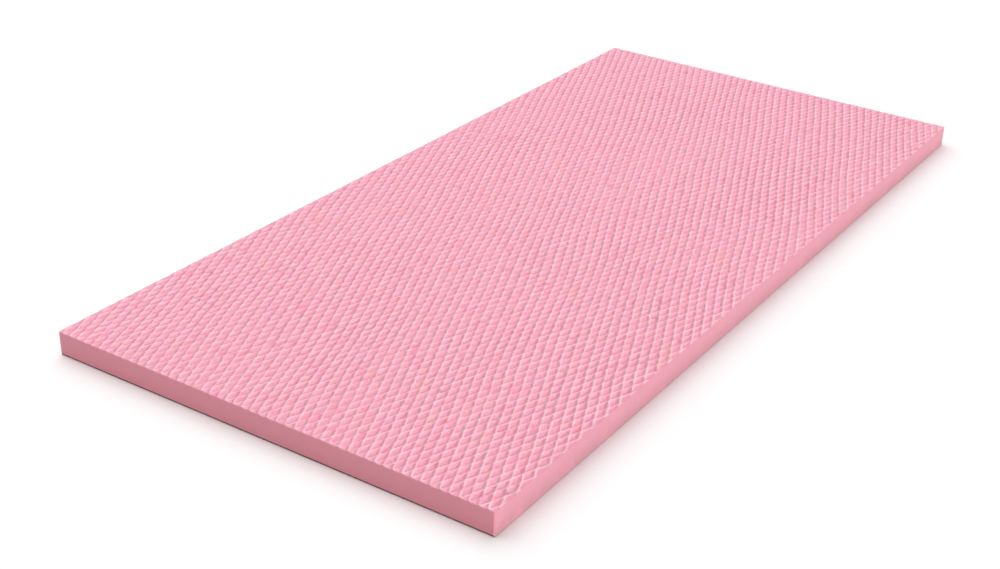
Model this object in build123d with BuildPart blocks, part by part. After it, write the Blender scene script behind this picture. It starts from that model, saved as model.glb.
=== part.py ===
"""Extruded polystyrene insulation board, one rigid foam slab lying flat on its lower face.

Frame: X across the width, Y along the length, Z up through the thickness.
The origin is the centre of the lower face. Lengths are in millimetres.
"""

import os

from build123d import *

# Stock size of the board
board_length = 1250.0
board_width = 600.0
board_thickness = 30.0

# Easing of the trimmed edges
upright_corner_radius = 2.4
lower_arris_radius = 1.6
upper_arris_radius = 1.0

os.makedirs("parts", exist_ok=True)

# Board: straight butt edges all round, both faces flat and parallel
with BuildPart() as insulation_board:
    with BuildSketch(Plane.XY) as plan_outline:
        RectangleRounded(board_width, board_length, upright_corner_radius)
    extrude(amount=board_thickness)

    lower_face = insulation_board.faces().sort_by(Axis.Z)[0]
    fillet(lower_face.edges(), radius=lower_arris_radius)

    upper_face = insulation_board.faces().sort_by(Axis.Z)[-1]
    fillet(upper_face.edges(), radius=upper_arris_radius)

insulation_board.part.label = "insulation_board"
export_step(insulation_board.part, "parts/insulation_board.step")
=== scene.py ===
"""Looks of an extruded polystyrene insulation board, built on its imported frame.

The board is one slab of pink foam. Its upper face is embossed with a waffle of rhombic pockets between
rounded ridges, which the straight trimmed edges cut through. The crests of the ridges lie at the top of the
board's box, and the pockets are sunk below them, so the mesh stays inside that box.

Lengths are in millimetres and angles in degrees in every class, unless a docstring says otherwise. They are
turned into metres and radians where a mesh, a node or an object is made.
"""

import logging
import math
from abc import ABC, abstractmethod
from dataclasses import dataclass, field
from enum import Enum
from typing import ClassVar

import bmesh
import bpy
import numpy as np
from mathutils import Matrix, Vector

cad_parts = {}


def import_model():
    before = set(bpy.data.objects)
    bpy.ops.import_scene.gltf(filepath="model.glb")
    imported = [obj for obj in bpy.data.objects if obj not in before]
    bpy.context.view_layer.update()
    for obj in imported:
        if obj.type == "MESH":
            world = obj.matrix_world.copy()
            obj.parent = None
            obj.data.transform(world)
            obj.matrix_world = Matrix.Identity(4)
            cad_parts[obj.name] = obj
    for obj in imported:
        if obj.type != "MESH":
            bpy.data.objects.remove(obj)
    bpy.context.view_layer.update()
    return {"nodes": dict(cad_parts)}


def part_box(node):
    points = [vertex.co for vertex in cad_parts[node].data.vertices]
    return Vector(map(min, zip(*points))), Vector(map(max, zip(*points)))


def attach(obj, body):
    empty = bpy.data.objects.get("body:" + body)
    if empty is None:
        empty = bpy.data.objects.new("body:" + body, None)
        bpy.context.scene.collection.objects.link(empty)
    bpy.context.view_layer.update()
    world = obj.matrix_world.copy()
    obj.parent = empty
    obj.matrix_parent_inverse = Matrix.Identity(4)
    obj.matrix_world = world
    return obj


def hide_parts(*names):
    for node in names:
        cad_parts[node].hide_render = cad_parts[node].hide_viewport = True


MM = 0.001
RIGHT_ANGLE = 90.0
QUARTER_TURN = math.radians(RIGHT_ANGLE)
CORNERS = 4
MATRIX_SIZE = 4
CUT_TOLERANCE_M = 1e-8
TOUCH_TOLERANCE_M = 1e-6

log = logging.getLogger("insulation_board")

Colour = tuple[float, float, float, float]
Socket = bpy.types.NodeSocket


class Zone(Enum):
    """The zones of the board's surface, numbered as its material slots."""

    EMBOSSED_FACE = 0
    TRIMMED_EDGE = 1
    LOWER_FACE = 2


class Lit(Enum):
    """What a lamp lights."""

    BOARD = "board"
    FLOOR = "floor"


class NodeGraph:
    """A node tree that is filled one node at a time.

    A mix node has several sockets of one name, so the ones for colours are known by their numbers.
    """

    MIX_FACTOR: ClassVar[int] = 0
    MIX_FIRST: ClassVar[int] = 6
    MIX_SECOND: ClassVar[int] = 7
    MIX_RESULT: ClassVar[int] = 2
    NOISE_MEAN: ClassVar[float] = 0.5
    NOISE_ROUGHNESS: ClassVar[float] = 0.55

    def __init__(self, tree: bpy.types.NodeTree) -> None:
        """Takes over a tree and empties it.

        Args:
            tree: the node tree of a material or a world.
        """
        self.tree = tree
        self.tree.nodes.clear()

    def add(
        self, kind: str, inputs: dict[str | int, object] | None = None, **settings: object
    ) -> bpy.types.Node:
        """Adds a node.

        Args:
            kind: the node's type name, without its ShaderNode prefix.
            inputs: input socket, by name or number, to a value or to the output socket that feeds it.
            settings: attributes of the node itself.

        Returns:
            The new node.
        """
        node = self.tree.nodes.new("ShaderNode" + kind)
        for name, value in settings.items():
            setattr(node, name, value)
        for name, value in (inputs or {}).items():
            if isinstance(value, Socket):
                self.tree.links.new(value, node.inputs[name])
            else:
                node.inputs[name].default_value = value
        return node

    def mix(self, factor: float | Socket, first: Colour | Socket, second: Colour | Socket) -> Socket:
        """Mixes two colours.

        Args:
            factor: share of the second colour.
            first: the first colour.
            second: the second colour.

        Returns:
            The mixed colour's socket.
        """
        inputs = {self.MIX_FACTOR: factor, self.MIX_FIRST: first, self.MIX_SECOND: second}
        return self.add("Mix", inputs, data_type="RGBA").outputs[self.MIX_RESULT]

    def ramp(self, value: Socket, low: float, high: float, top: float = 1.0) -> Socket:
        """Maps a value smoothly from a range to a range that starts at 0.

        Args:
            value: socket to map.
            low: value that gives 0.
            high: value that gives the top.
            top: highest result.

        Returns:
            The mapped value's socket.
        """
        inputs = {"Value": value, "From Min": low, "From Max": high, "To Max": top}
        return self.add("MapRange", inputs, interpolation_type="SMOOTHSTEP").outputs["Result"]

    def noise(self, place: Socket, size: float, seed: float, detail: float) -> Socket:
        """Adds a noise.

        Args:
            place: the coordinate's socket.
            size: size of its largest patches.
            seed: number that tells noises of one size apart.
            detail: number of finer octaves.

        Returns:
            The noise's socket, about NOISE_MEAN on average.
        """
        inputs = {
            "Vector": place,
            "W": seed,
            "Scale": 1 / (size * MM),
            "Detail": detail,
            "Roughness": self.NOISE_ROUGHNESS,
        }
        return self.add("TexNoise", inputs, noise_dimensions="4D").outputs[0]


@dataclass(frozen=True)
class Surface:
    """What a layer of colour may depend on: the place on the board and the way that the surface faces."""

    place: Socket
    normal: Socket


@dataclass(frozen=True)
class Layer(ABC):
    """A tint that is laid over part of a surface."""

    tint: Colour

    @abstractmethod
    def mask(self, graph: NodeGraph, surface: Surface) -> Socket:
        """Gives how much of the tint shows.

        Args:
            graph: the material's graph.
            surface: the place and the normal.

        Returns:
            The share's socket, from 0 to 1.
        """

    def lay(self, graph: NodeGraph, surface: Surface, below: Colour | Socket) -> Socket:
        """Lays the tint over a colour.

        Args:
            graph: the material's graph.
            surface: the place and the normal.
            below: the colour below.

        Returns:
            The tinted colour's socket.
        """
        return graph.mix(self.mask(graph, surface), below, self.tint)


@dataclass(frozen=True)
class HeightTint(Layer):
    """A tint that grows with height, with a ragged border.

    Attributes:
        low: height at which it starts.
        high: height from which all of it shows.
        ragged: how far the border wanders up and down.
        ragged_size: size of the border's wanderings.
        detail: number of finer octaves of the wanderings.
    """

    low: float
    high: float
    ragged: float
    ragged_size: float
    detail: float = 1.0

    def mask(self, graph: NodeGraph, surface: Surface) -> Socket:
        """Gives the share by height.

        Args:
            graph: the material's graph.
            surface: the place and the normal.

        Returns:
            The share's socket, from 0 to 1.
        """
        height = graph.add("SeparateXYZ", {"Vector": surface.place}).outputs["Z"]
        noise = graph.noise(surface.place, self.ragged_size, seed=self.high, detail=self.detail)
        uneven = graph.add("Math", {0: noise, 1: self.ragged * MM, 2: height}, operation="MULTIPLY_ADD")
        middle = self.ragged * graph.NOISE_MEAN
        return graph.ramp(uneven.outputs[0], (self.low + middle) * MM, (self.high + middle) * MM)


@dataclass(frozen=True)
class FacingTint(Layer):
    """A tint on what faces a given way.

    Attributes:
        way: the way, as a unit vector.
        full: angle from the way up to which all of the tint shows.
        fade: angle from the way at which it has faded out.
        strength: share of the tint where all of it shows.
        mirrored: whether what faces the opposite way is tinted too.
    """

    way: tuple[float, float, float]
    full: float
    fade: float
    strength: float = 1.0
    mirrored: bool = False

    def mask(self, graph: NodeGraph, surface: Surface) -> Socket:
        """Gives the share by the surface's normal.

        Args:
            graph: the material's graph.
            surface: the place and the normal.

        Returns:
            The share's socket, from 0 to the strength.
        """
        product = graph.add("VectorMath", {0: surface.normal, 1: self.way}, operation="DOT_PRODUCT")
        facing = product.outputs["Value"]
        if self.mirrored:
            facing = graph.add("Math", {0: facing}, operation="ABSOLUTE").outputs[0]
        none, every = (math.cos(math.radians(angle)) for angle in (self.fade, self.full))
        return graph.ramp(facing, none, every, self.strength)


@dataclass(frozen=True)
class Patches(Layer):
    """Patches of another tint, scattered over a surface.

    Attributes:
        size: size of the largest patches.
        strength: share of the tint in the middle of a patch.
        seed: number that tells patches of one size apart.
        start: noise value at which a patch starts.
        full: noise value from which the tint has its strength.
        detail: number of finer octaves of the patches.
    """

    size: float
    strength: float
    seed: float
    start: float = 0.5
    full: float = 0.75
    detail: float = 2.0

    def mask(self, graph: NodeGraph, surface: Surface) -> Socket:
        """Gives the share by a slow noise.

        Args:
            graph: the material's graph.
            surface: the place and the normal.

        Returns:
            The share's socket, from 0 to the strength.
        """
        noise = graph.noise(surface.place, self.size, self.seed, self.detail)
        return graph.ramp(noise, self.start, self.full, self.strength)


@dataclass(frozen=True)
class FoamFinish:
    """A matt foam surface: layers of colour over a fine cell grain.

    Attributes:
        name: the material's name.
        colour: the colour below the layers.
        layers: the tints, from the lowest to the topmost.
        grain_size: size of the grain.
        grain_height: height of the grain's bump.
        roughness: roughness at the grain's middle.
        roughness_spread: most that the grain adds to or takes from it.
        specular: specular level of the shader.
        grain_seed: number that tells the grain from patches of its size.
        grain_detail: number of finer octaves of the grain.
        bump_strength: share of the grain's bump that shows.
    """

    name: str
    colour: Colour
    layers: tuple[Layer, ...]
    grain_size: float
    grain_height: float
    roughness: float
    roughness_spread: float
    specular: float
    grain_seed: float = 0.0
    grain_detail: float = 2.0
    bump_strength: float = 1.0

    def material(self) -> bpy.types.Material:
        """Makes the finish as a node material.

        Returns:
            The new material.
        """
        material = bpy.data.materials.new(self.name)
        material.use_nodes = True
        graph = NodeGraph(material.node_tree)
        coordinates = graph.add("TexCoord").outputs
        surface = Surface(coordinates["Object"], coordinates["Normal"])
        colour = self.colour
        for layer in self.layers:
            colour = layer.lay(graph, surface, colour)
        grain = graph.noise(surface.place, self.grain_size, self.grain_seed, self.grain_detail)
        bump = graph.add(
            "Bump",
            {"Height": grain, "Strength": self.bump_strength, "Distance": self.grain_height * MM},
        )
        rough = graph.add(
            "MapRange",
            {
                "Value": grain,
                "To Min": self.roughness - self.roughness_spread,
                "To Max": self.roughness + self.roughness_spread,
            },
        )
        shader = graph.add(
            "BsdfPrincipled",
            {
                "Base Color": colour,
                "Roughness": rough.outputs["Result"],
                "Normal": bump.outputs["Normal"],
                "Specular IOR Level": self.specular,
            },
        )
        graph.add("OutputMaterial", {"Surface": shader.outputs[0]})
        return material


@dataclass(frozen=True)
class TrimPlane:
    """One facet of the board's outline: points on the board have normal . point <= reach."""

    normal: tuple[float, float]
    reach: float

    def depth_of(self, point: Vector) -> float:
        """Gives how far inside the facet a point in metres lies, in metres."""
        return self.reach * MM - self.normal[0] * point.x - self.normal[1] * point.y

    def cut(
        self, work: bmesh.types.BMesh, faces: list[bmesh.types.BMFace], inset: float, trim: bool
    ) -> list[bmesh.types.BMFace]:
        """Cuts faces along the facet, or along a line inset from it.

        Args:
            work: the mesh that the faces are in, in metres.
            faces: the faces to cut.
            inset: distance of the cut inside the facet.
            trim: whether what lies outside the cut is removed.

        Returns:
            The faces that are left, cut ones among them.
        """
        edges = list(dict.fromkeys(edge for face in faces for edge in face.edges))
        verts = list(dict.fromkeys(vert for face in faces for vert in face.verts))
        outward = Vector((*self.normal, 0.0))
        result = bmesh.ops.bisect_plane(
            work,
            geom=faces + edges + verts,
            dist=CUT_TOLERANCE_M,
            plane_co=outward * (self.reach - inset) * MM,
            plane_no=outward,
            clear_outer=trim,
        )
        return [part for part in result["geom"] if isinstance(part, bmesh.types.BMFace)]


@dataclass
class Outline:
    """The board's outline in plan: straight edges and rounded upright corners.

    Attributes:
        width: the board's width.
        length: the board's length.
        corner_radius: radius of the corners.
        corner_facets: facets of each corner, between the straight edges.
    """

    width: float
    length: float
    corner_radius: float
    corner_facets: int = 3

    def planes(self) -> list[TrimPlane]:
        """Gives the facets of the outline, counterclockwise from the right long edge.

        Returns:
            The facets.
        """
        steps = self.corner_facets + 1
        planes: list[TrimPlane] = []
        for quarter in range(CORNERS):
            for step in range(steps):
                angle = QUARTER_TURN * (quarter + step / steps)
                normal = (math.cos(angle), math.sin(angle))
                reach = (
                    abs(normal[0]) * (self.width / 2 - self.corner_radius)
                    + abs(normal[1]) * (self.length / 2 - self.corner_radius)
                    + self.corner_radius
                )
                planes.append(TrimPlane(normal, reach))
        return planes


@dataclass
class Relief:
    """The embossed surface as a mesh: points, faces, and which faces are pocket floors."""

    points: np.ndarray
    faces: list[tuple[int, ...]]
    floors: list[bool]


@dataclass
class WaffleEmbossing:
    """The embossed relief: rhombic pockets between two crossing families of ridges.

    The pattern is laid out in lattice coordinates, one unit a cell. The ridges of one family lie where the
    first coordinate is a whole number, and those of the other family where the second one is. Each cell has
    four mesh lines each way: the outer two run along its crests, and the inner two round its floor.

    Attributes:
        cell_width: a pocket's pitch across the board.
        cell_length: a pocket's pitch along the board.
        crest_width: width of the level top of a ridge.
        wall_width: width of the slope from a crest to a floor, in plan.
        pocket_depth: mean depth of the floors.
        depth_spread: share by which single pockets are deeper or shallower, at most.
        depth_drift: share by which whole regions are, as a standard deviation.
        floor_dish: extra depth in the middle of a floor.
        floor_tilt: tilt of a floor, as a standard deviation of the height of its rim.
        ridge_sag: most that a ridge sags between two crossings.
        cross_drop: how much lower the second family's ridges lie between their crossings.
        crest_wobble: shift in plan of single mesh points, as a standard deviation.
        line_jitter: shift in plan of single crossings of the ridges, as a standard deviation.
        line_drift: slow wandering of the ridges, as a standard deviation.
        drift_rounds: rounds of smoothing that make the slow fields.
        rim_width: width of the strip along the edges in which the relief runs out.
        rim_share: share of its depth that the relief keeps at the edge.
        seed: seed of the random draws.
    """

    FAMILIES: ClassVar[int] = 2
    LINES: ClassVar[int] = 4
    CREST_LINES: ClassVar[tuple[int, int]] = (0, 3)
    FLOOR_LINES: ClassVar[tuple[int, int]] = (1, 2)
    DRIFT_FIELDS: ClassVar[int] = 3
    DEPTH_FIELD: ClassVar[int] = 2
    MARGIN_CELLS: ClassVar[int] = 2

    cell_width: float = 11.66
    cell_length: float = 28.4
    crest_width: float = 1.75
    wall_width: float = 1.2
    pocket_depth: float = 1.2
    depth_spread: float = 0.22
    depth_drift: float = 0.12
    floor_dish: float = 0.1
    floor_tilt: float = 0.1
    ridge_sag: float = 0.16
    cross_drop: float = 0.08
    crest_wobble: float = 0.3
    line_jitter: float = 0.3
    line_drift: float = 1.6
    drift_rounds: int = 40
    rim_width: float = 8.0
    rim_share: float = 0.25
    seed: int = 7

    @property
    def pitch(self) -> float:
        """Distance from one ridge to the next, square to the ridges."""
        return self.cell_width * self.cell_length / math.hypot(self.cell_width, self.cell_length)

    @property
    def pattern(self) -> np.ndarray:
        """Where the four mesh lines of a cell lie: crest, floor, floor and crest."""
        crest = self.crest_width / 2 / self.pitch
        floor = crest + self.wall_width / self.pitch
        return np.array((crest, floor, 1 - floor, 1 - crest))

    def drift(self, count: int, rng: np.random.Generator) -> np.ndarray:
        """Makes slow random fields over the lattice's crossings.

        Args:
            count: number of crossings each way.
            rng: source of the random draws.

        Returns:
            Fields of unit spread, in the last axis: two for shifts and then one for depth.
        """
        fields = rng.normal(size=(count, count, self.DRIFT_FIELDS))
        neighbours = [(step, axis) for step in (-1, 1) for axis in (0, 1)]
        for _ in range(self.drift_rounds):
            around = sum(np.roll(fields, step, axis) for step, axis in neighbours)
            fields = (fields + around) / (len(neighbours) + 1)
        return fields / fields.std(axis=(0, 1))

    @staticmethod
    def between(field_values: np.ndarray, pattern: np.ndarray) -> np.ndarray:
        """Fills in a field between the crossings, on the mesh lines.

        Args:
            field_values: values at the crossings, with any number of parts in the last axis.
            pattern: where the mesh lines of a cell lie.

        Returns:
            The values at the mesh lines.
        """
        for axis in (0, 1):
            first = np.moveaxis(field_values, axis, 0)
            share = pattern.reshape(1, -1, *(1,) * (first.ndim - 1))
            lines = first[:-1, None] * (1 - share) + first[1:, None] * share
            field_values = np.moveaxis(lines.reshape(-1, *first.shape[1:]), 0, axis)
        return field_values

    def drops(self, depths: np.ndarray, rng: np.random.Generator) -> np.ndarray:
        """Gives how far each mesh point lies below the level of the crests.

        Args:
            depths: depth of each pocket.
            rng: source of the random draws.

        Returns:
            The drops, at every crossing of two mesh lines.
        """
        cells = len(depths)
        tilts = rng.normal(scale=self.floor_tilt, size=(self.FAMILIES, cells, cells))
        sags = rng.uniform(0.0, self.ridge_sag, size=(self.FAMILIES, cells + 1, cells))
        drops = np.zeros((cells, self.LINES, cells, self.LINES))
        floor_ways = tuple(zip(self.FLOOR_LINES, (-1, 1)))
        for first, first_way in floor_ways:
            for second, second_way in floor_ways:
                drops[:, first, :, second] = depths + first_way * tilts[0] + second_way * tilts[1]
        for crest, ridges in zip(self.CREST_LINES, (slice(None, -1), slice(1, None))):
            for floor in self.FLOOR_LINES:
                drops[:, crest, :, floor] = sags[0][ridges]
                drops[:, floor, :, crest] = sags[1][ridges].T + self.cross_drop
        return drops.reshape(self.LINES * cells, self.LINES * cells)

    def surface(self, width: float, length: float, top: float) -> Relief:
        """Builds the relief a little larger than the board.

        Args:
            width: the board's width.
            length: the board's length.
            top: height of the crests.

        Returns:
            The relief.
        """
        rng = np.random.default_rng(self.seed)
        reach = width / self.cell_width / 2 + length / self.cell_length / 2
        half = math.ceil(reach) + self.MARGIN_CELLS
        drift = self.drift(2 * half + 1, rng)
        wander = drift[..., : self.DEPTH_FIELD] * self.line_drift
        shifts = wander + rng.normal(scale=self.line_jitter, size=wander.shape)
        deeper = 1 + drift[:-1, :-1, self.DEPTH_FIELD] * self.depth_drift
        depths = self.pocket_depth * (deeper + rng.uniform(-1, 1, deeper.shape) * self.depth_spread)

        stations = (np.arange(-half, half)[:, None] + self.pattern).ravel()
        shifts = self.between(shifts, self.pattern)
        shifts = shifts + rng.normal(scale=self.crest_wobble, size=shifts.shape)
        x = (stations[:, None] + stations[None, :]) * self.cell_width / 2 + shifts[..., 0]
        y = (stations[:, None] - stations[None, :]) * self.cell_length / 2 + shifts[..., 1]
        inside = np.minimum(width / 2 - np.abs(x), length / 2 - np.abs(y))
        runout = self.rim_share + (1 - self.rim_share) * np.clip(inside / self.rim_width, 0, 1)
        points = np.stack((x, y, top - self.drops(depths, rng) * runout), axis=-1)

        near = (np.abs(x) < width / 2 + self.cell_length) & (np.abs(y) < length / 2 + self.cell_length)
        return self._mesh(points, near[:-1, :-1] & near[1:, :-1] & near[:-1, 1:] & near[1:, 1:])

    def _mesh(self, points: np.ndarray, keep: np.ndarray) -> Relief:
        """Joins the grid of points to a mesh, with each pocket's floor fanned to a dished centre.

        Args:
            points: the grid of points.
            keep: which quads of the grid are wanted.

        Returns:
            The relief.
        """
        row, column = np.nonzero(keep)
        across = points.shape[1]
        first = row * across + column
        quads = np.stack((first, first + 1, first + across + 1, first + across), axis=-1)
        points = points.reshape(-1, points.shape[-1])
        floor_line = self.FLOOR_LINES[0]
        floor = (row % self.LINES == floor_line) & (column % self.LINES == floor_line)
        rim = quads[floor]
        centres = points[rim].mean(axis=1) - (0.0, 0.0, self.floor_dish)
        middle = np.arange(len(centres)) + len(points)
        sides = zip(rim.T, np.roll(rim, -1, axis=1).T)
        fans = np.concatenate([np.stack((start, end, middle), axis=-1) for start, end in sides])
        others = quads[~floor]
        points = np.concatenate((points, centres))
        used = np.unique(np.concatenate((others.ravel(), fans.ravel())))
        number = np.zeros(len(points), dtype=int)
        number[used] = np.arange(len(used))
        faces = [tuple(face) for group in (others, fans) for face in number[group].tolist()]
        return Relief(points[used], faces, [False] * len(others) + [True] * len(fans))


@dataclass
class InsulationBoard:
    """The board: an embossed upper face, trimmed edges and a plain lower face.

    Attributes:
        low: lowest corner of the board's box, in metres.
        high: highest corner of the board's box, in metres.
        finishes: the finish of each zone.
        embossing: the relief of the upper face.
        corner_radius: radius of the upright corners.
        upper_easing: radius of the easing along the upper rim.
        easing_parts: the easing has one more cut, at its radius over this number from the edge.
        end_arris: radius of the lower arris at the ends.
        side_arris: radius of the lower arris at the long edges.
        lower_steps: facets of the lower arris.
        edge_strip: width of the narrow strips that keep an edge's shading flat.
    """

    low: Vector
    high: Vector
    finishes: dict[Zone, FoamFinish]
    embossing: WaffleEmbossing = field(default_factory=WaffleEmbossing)
    corner_radius: float = 2.4
    upper_easing: float = 0.8
    easing_parts: int = 3
    end_arris: float = 1.85
    side_arris: float = 0.8
    lower_steps: int = 3
    edge_strip: float = 0.4

    def build(self) -> bpy.types.Object:
        """Makes the board's mesh and its object.

        Returns:
            The board's object, in place.
        """
        width, length, top = ((self.high - self.low) / MM)[:]
        planes = Outline(width, length, self.corner_radius).planes()
        relief = self.embossing.surface(width, length, top)
        mesh = bpy.data.meshes.new("insulation_board_mesh")
        mesh.from_pydata((relief.points * MM).tolist(), [], relief.faces)
        work = bmesh.new()
        work.from_mesh(mesh)
        self._crease(work, relief.floors)
        rim_faces = self._trim(work, planes)
        self._close(work, self._rim(rim_faces), planes)
        bmesh.ops.recalc_face_normals(work, faces=work.faces[:])
        work.to_mesh(mesh)
        work.free()
        board = bpy.data.objects.new("waffle_board", mesh)
        bpy.context.scene.collection.objects.link(board)
        return board

    def dress(self, board: bpy.types.Object) -> None:
        """Gives each zone of the board its finish.

        Args:
            board: the board's object.
        """
        for zone in Zone:
            board.data.materials.append(self.finishes[zone].material())

    @staticmethod
    def _crease(work: bmesh.types.BMesh, floors: list[bool]) -> None:
        """Smooths the relief, with a crease where the walls of a pocket meet its floor.

        Args:
            work: the relief's mesh.
            floors: whether each face is part of a pocket's floor.
        """
        for face, floor in zip(work.faces, floors):
            face.smooth = True
            face.material_index = Zone.EMBOSSED_FACE.value
            face.tag = floor
        for edge in work.edges:
            edge.smooth = len({face.tag for face in edge.link_faces}) == 1

    def _trim(self, work: bmesh.types.BMesh, planes: list[TrimPlane]) -> list[bmesh.types.BMFace]:
        """Cuts the relief to the outline and eases its rim.

        Args:
            work: the relief's mesh.
            planes: the outline's facets.

        Returns:
            The faces along the rim.
        """
        radius = self.upper_easing * MM
        depth = {vert: min(plane.depth_of(vert.co) for plane in planes) for vert in work.verts}
        faces = [face for face in work.faces if min(depth[vert] for vert in face.verts) < radius]
        inner_cut = self.upper_easing / self.easing_parts
        for inset, trim in ((0.0, True), (self.upper_easing, False), (inner_cut, False)):
            for plane in planes:
                faces = plane.cut(work, faces, inset, trim)
        for vert in dict.fromkeys(vert for face in faces for vert in face.verts):
            inside = min(plane.depth_of(vert.co) for plane in planes)
            if inside < radius:
                vert.co.z -= radius - math.sqrt(max(radius**2 - (radius - inside) ** 2, 0.0))
        for face in faces:
            if min(plane.depth_of(face.calc_center_median()) for plane in planes) < radius:
                face.material_index = Zone.TRIMMED_EDGE.value
        return faces

    @staticmethod
    def _rim(faces: list[bmesh.types.BMFace]) -> list[bmesh.types.BMVert]:
        """Walks along the open rim of the trimmed relief.

        Args:
            faces: the faces along the rim.

        Returns:
            The rim's points in order.
        """
        following: dict[bmesh.types.BMVert, bmesh.types.BMVert] = {}
        for face in faces:
            for corner in face.loops:
                if corner.edge.is_boundary:
                    following[corner.vert] = corner.link_loop_next.vert
        start = next(iter(following))
        loop = [start]
        while following[loop[-1]] is not start:
            loop.append(following[loop[-1]])
        return loop

    def _close(
        self, work: bmesh.types.BMesh, loop: list[bmesh.types.BMVert], planes: list[TrimPlane]
    ) -> None:
        """Adds the trimmed edges, the lower arris and the lower face.

        Args:
            work: the relief's mesh.
            loop: the rim's points in order.
            planes: the outline's facets.
        """
        inward = [self._inward(vert.co, planes) for vert in loop]
        radii = [self._arris(way) for way in inward]
        levels = [[(0.0, vert.co.z / MM - self.edge_strip) for vert in loop]]
        levels.append([(0.0, radius + self.edge_strip) for radius in radii])
        for step in range(self.lower_steps + 1):
            turn = QUARTER_TURN * step / self.lower_steps
            inset_share = 1 - math.cos(turn)
            height_share = 1 - math.sin(turn)
            levels.append([(radius * inset_share, radius * height_share) for radius in radii])
        above = loop
        for level in levels:
            below: list[bmesh.types.BMVert] = []
            for vert, way, (inset, height) in zip(loop, inward, level):
                place = Vector((vert.co.x, vert.co.y, height * MM)) + way * inset * MM
                below.append(work.verts.new(place))
            for here in range(len(loop)):
                ahead = (here + 1) % len(loop)
                face = work.faces.new((above[here], above[ahead], below[ahead], below[here]))
                face.smooth = True
                face.material_index = Zone.TRIMMED_EDGE.value
            above = below
        lower = work.faces.new(above)
        lower.smooth = False
        lower.material_index = Zone.LOWER_FACE.value

    def _arris(self, inward: Vector) -> float:
        """Gives the radius of the lower arris, which is blunter at the ends than at the long edges.

        Args:
            inward: the way square to the outline.

        Returns:
            The radius.
        """
        share = (inward.y / inward.length) ** 2
        return self.side_arris + (self.end_arris - self.side_arris) * share

    @staticmethod
    def _inward(point: Vector, planes: list[TrimPlane]) -> Vector:
        """Finds the shift that insets a rim point by one unit from each facet that it lies on.

        Args:
            point: the rim point, in metres.
            planes: the outline's facets.

        Returns:
            The shift in plan.
        """
        touched = [plane.normal for plane in planes if abs(plane.depth_of(point)) < TOUCH_TOLERANCE_M]
        shift = np.linalg.lstsq(np.array(touched), -np.ones(len(touched)), rcond=None)[0]
        return Vector((*shift, 0.0))


@dataclass(frozen=True)
class PhotoCamera:
    """The camera that took the photograph, found from the board's corners.

    Attributes:
        position: its place.
        heading: the way that it looks in plan, from +Y, with clockwise positive.
        pitch: how far it looks down.
        roll: its turn about the line of sight.
        focal_px: focal length in pixels of the photograph.
        centre_px: optical centre in the photograph.
        image_px: width and height of the photograph.
        sensor_width: width of the sensor.
    """

    position: tuple[float, float, float] = (976.0, -1649.75, 919.32)
    heading: float = -30.9867
    pitch: float = 27.863
    roll: float = 2.5585
    focal_px: float = 1562.48
    centre_px: tuple[float, float] = (559.33, 293.37)
    image_px: tuple[float, float] = (1000.0, 569.0)
    sensor_width: float = 36.0

    def build(self) -> bpy.types.Object:
        """Makes the scene's camera.

        Returns:
            The camera's object.
        """
        width, height = self.image_px
        data = bpy.data.cameras.new("photo_camera")
        data.sensor_fit = "HORIZONTAL"
        data.sensor_width = self.sensor_width
        data.lens = self.sensor_width * self.focal_px / width
        data.shift_x = (width / 2 - self.centre_px[0]) / width
        data.shift_y = (self.centre_px[1] - height / 2) / width
        camera = bpy.data.objects.new("photo_camera", data)
        camera.matrix_world = (
            Matrix.Translation(Vector(self.position) * MM)
            @ Matrix.Rotation(math.radians(-self.heading), MATRIX_SIZE, "Z")
            @ Matrix.Rotation(math.radians(RIGHT_ANGLE - self.pitch), MATRIX_SIZE, "X")
            @ Matrix.Rotation(math.radians(self.roll), MATRIX_SIZE, "Z")
        )
        bpy.context.scene.collection.objects.link(camera)
        bpy.context.scene.camera = camera
        return camera


@dataclass(frozen=True)
class SoftLight:
    """A distant lamp with a soft edge, which lights the board alone or the floor alone.

    Attributes:
        name: the lamp's name.
        lit: what it lights.
        azimuth: where it stands in plan, counterclockwise from +X.
        elevation: how high it stands.
        spread: how broad it looks from the board.
        level: how brightly it lights a level white surface, where 1 is white.
    """

    name: str
    lit: Lit
    azimuth: float
    elevation: float
    spread: float
    level: float

    def build(self) -> bpy.types.Object:
        """Makes the lamp, with the strength that lights a level white surface to its level.

        Returns:
            The lamp's object.
        """
        azimuth = math.radians(self.azimuth)
        elevation = math.radians(self.elevation)
        way = Vector(
            (
                math.cos(elevation) * math.cos(azimuth),
                math.cos(elevation) * math.sin(azimuth),
                math.sin(elevation),
            )
        )
        data = bpy.data.lights.new(self.name, "SUN")
        data.angle = math.radians(self.spread)
        data.energy = self.level * math.pi / math.sin(elevation)
        lamp = bpy.data.objects.new(self.name, data)
        lamp.location = way
        lamp.rotation_euler = way.to_track_quat("Z", "Y").to_euler()
        bpy.context.scene.collection.objects.link(lamp)
        return lamp


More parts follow.
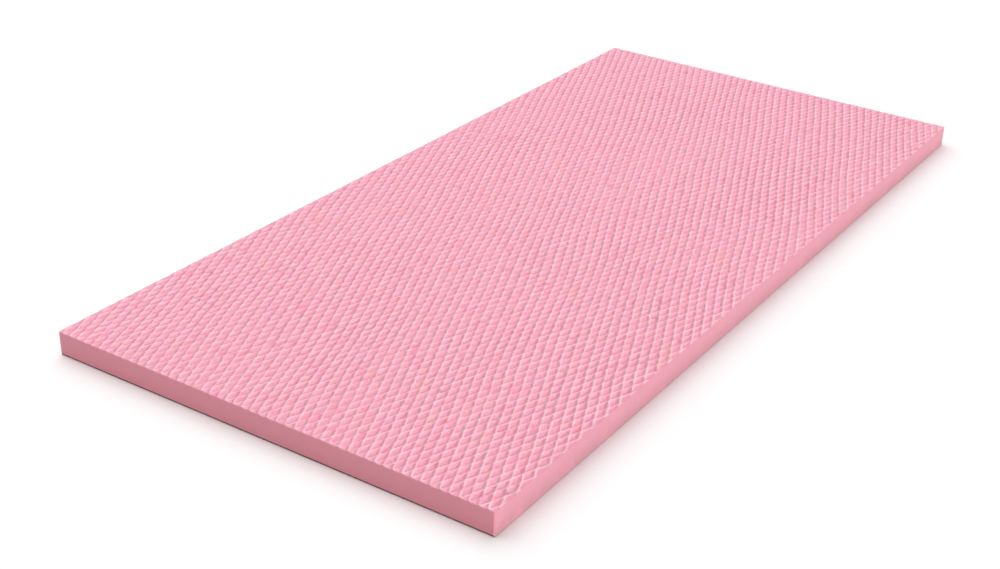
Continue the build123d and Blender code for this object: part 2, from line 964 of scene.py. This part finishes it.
@dataclass(frozen=True)
class Studio:
    """A pale floor under soft light.

    The board and the floor have lamps of their own: a low key and a high soft fill show the board's relief,
    and a very soft lamp from behind gives the floor its shadow.

    Attributes:
        floor_side: side of the square floor.
        floor_drop: gap between the board and the floor.
        floor_albedo: the floor's colour as the board sees it.
        floor_shown: the floor's colour as the camera sees it.
        sky_colour: the sky's colour.
        sky_level: brightness of the sky as the board and the floor see it.
        sky_shown: brightness of the sky as the camera sees it.
        lamps: the lamps.
    """

    floor_side: float = 40000.0
    floor_drop: float = 0.05
    floor_albedo: Colour = (0.8, 0.8, 0.8, 1.0)
    floor_shown: Colour = (1.03, 1.03, 1.03, 1.0)
    sky_colour: Colour = (1.0, 1.0, 1.0, 1.0)
    sky_level: float = 0.45
    sky_shown: float = 1.0
    lamps: tuple[SoftLight, ...] = (
        SoftLight("board_key", Lit.BOARD, azimuth=2.0, elevation=20.0, spread=10.0, level=0.26),
        SoftLight("board_fill", Lit.BOARD, azimuth=-65.0, elevation=75.0, spread=90.0, level=0.29),
        SoftLight("floor_key", Lit.FLOOR, azimuth=155.0, elevation=57.0, spread=80.0, level=0.55),
    )

    def build(self, board: bpy.types.Object) -> None:
        """Makes the floor, the lamps and the world, and sets the plain view transform.

        Args:
            board: the board's object.
        """
        receivers = {Lit.BOARD: board, Lit.FLOOR: self._floor()}
        for light in self.lamps:
            group = bpy.data.collections.new(light.name + "_receivers")
            group.objects.link(receivers[light.lit])
            light.build().light_linking.receiver_collection = group
        self._world()
        bpy.context.scene.view_settings.view_transform = "Standard"

    @staticmethod
    def _seen(graph: NodeGraph) -> Socket:
        """Gives 1 for rays that show a surface to the camera, straight or by gloss or glass.

        Args:
            graph: the graph that asks.

        Returns:
            The test's socket.
        """
        path = graph.add("LightPath").outputs
        both = graph.add("Math", {0: path["Is Camera Ray"], 1: path["Is Glossy Ray"]}, operation="MAXIMUM")
        every = graph.add("Math", {0: both.outputs[0], 1: path["Is Transmission Ray"]}, operation="MAXIMUM")
        return every.outputs[0]

    def _floor(self) -> bpy.types.Object:
        """Makes the floor, which shows white away from the board's shadow.

        Returns:
            The floor's object.
        """
        half = self.floor_side * MM / 2
        drop = -self.floor_drop * MM
        mesh = bpy.data.meshes.new("studio_floor_mesh")
        corners = [(-half, -half, drop), (half, -half, drop), (half, half, drop), (-half, half, drop)]
        mesh.from_pydata(corners, [], [tuple(range(len(corners)))])
        floor = bpy.data.objects.new("studio_floor", mesh)
        bpy.context.scene.collection.objects.link(floor)
        material = bpy.data.materials.new("studio_floor")
        material.use_nodes = True
        graph = NodeGraph(material.node_tree)
        colour = graph.mix(self._seen(graph), self.floor_albedo, self.floor_shown)
        shader = graph.add("BsdfDiffuse", {"Color": colour})
        graph.add("OutputMaterial", {"Surface": shader.outputs[0]})
        mesh.materials.append(material)
        return floor

    def _world(self) -> None:
        """Makes an even sky, which shows as white."""
        world = bpy.data.worlds.new("studio_sky")
        world.use_nodes = True
        graph = NodeGraph(world.node_tree)
        level = graph.add(
            "MapRange", {"Value": self._seen(graph), "To Min": self.sky_level, "To Max": self.sky_shown}
        )
        sky = graph.add("Background", {"Strength": level.outputs["Result"], "Color": self.sky_colour})
        graph.add("OutputWorld", {"Surface": sky.outputs[0]})
        bpy.context.scene.world = world


SKIN = FoamFinish(
    name="embossed_pink_skin",
    colour=(0.914, 0.378, 0.485, 1.0),
    layers=(
        # Painted highlight: a pale tint on the ridge crests, which makes them read brighter than the
        # pockets around them.
        HeightTint(tint=(0.975, 0.555, 0.665, 1.0), low=29.68, high=29.97, ragged=0.25, ragged_size=2.0),
        Patches(tint=(0.90, 0.43, 0.42, 1.0), size=12.0, strength=0.75, seed=1.0),
        Patches(tint=(0.82, 0.43, 0.55, 1.0), size=12.0, strength=0.8, seed=2.0),
        Patches(tint=(0.92, 0.265, 0.39, 1.0), size=9.0, strength=0.65, seed=3.0),
    ),
    grain_size=2.0,
    grain_height=0.6,
    roughness=0.6,
    roughness_spread=0.08,
    specular=0.35,
)

# The trimmed edges are coloured darker than the skin: partly the cut foam's own deeper colour, partly
# painted shade that keeps the upright faces, which the low key lights strongly, darker than the top.
EDGE = FoamFinish(
    name="trimmed_pink_edge",
    colour=(0.505, 0.235, 0.27, 1.0),
    layers=(
        # Painted shade: the edges darken towards the bottom, where the floor beside them lies in shadow.
        HeightTint(tint=(0.608, 0.262, 0.326, 1.0), low=0.0, high=24.0, ragged=4.0, ragged_size=10.0),
        Patches(tint=(0.68, 0.31, 0.345, 1.0), size=30.0, strength=0.4, seed=1.0),
        Patches(tint=(0.63, 0.285, 0.36, 1.0), size=22.0, strength=0.4, seed=2.0),
        Patches(tint=(0.69, 0.255, 0.315, 1.0), size=22.0, strength=0.4, seed=3.0),
        # Painted light and shade colour: the ends, which the key doesn't reach, are tinted lighter and
        # redder than the long edges, which it lights strongly.
        FacingTint(
            tint=(0.92, 0.337, 0.4, 1.0),
            way=(0.0, 1.0, 0.0),
            full=30.0,
            fade=60.0,
            strength=0.6,
            mirrored=True,
        ),
        # Painted shadow: a near-black tint on the downward-facing lower arris of the -Y end, for the
        # contact shadow under it.
        FacingTint(tint=(0.15, 0.015, 0.022, 1.0), way=(0.0, -0.6, -0.8), full=46.0, fade=51.0),
    ),
    grain_size=0.5,
    grain_height=0.03,
    roughness=0.65,
    roughness_spread=0.05,
    specular=0.25,
)

UNDERSIDE = FoamFinish(
    name="plain_pink_skin",
    colour=(0.86, 0.38, 0.48, 1.0),
    layers=(
        Patches(tint=(0.90, 0.44, 0.46, 1.0), size=24.0, strength=0.4, seed=1.0),
        Patches(tint=(0.80, 0.43, 0.51, 1.0), size=18.0, strength=0.4, seed=2.0),
        Patches(tint=(0.90, 0.33, 0.45, 1.0), size=18.0, strength=0.4, seed=3.0),
    ),
    grain_size=2.0,
    grain_height=0.2,
    roughness=0.6,
    roughness_spread=0.08,
    specular=0.35,
)


def main() -> None:
    """Builds the board, its finishes and the studio round it."""
    logging.basicConfig(level=logging.INFO, format="%(message)s")
    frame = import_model()
    node = next(iter(frame["nodes"]))
    finishes = {Zone.EMBOSSED_FACE: SKIN, Zone.TRIMMED_EDGE: EDGE, Zone.LOWER_FACE: UNDERSIDE}
    board = InsulationBoard(*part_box(node), finishes)
    piece = board.build()
    board.dress(piece)
    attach(piece, "root")
    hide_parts(node)
    mesh = piece.data
    mesh.calc_loop_triangles()
    log.info("%s: %d points, %d triangles", piece.name, len(mesh.vertices), len(mesh.loop_triangles))
    Studio().build(piece)
    camera = PhotoCamera().build()
    log.info("%s: lens %.2f mm", camera.name, camera.data.lens)


if __name__ == "__main__":
    main()
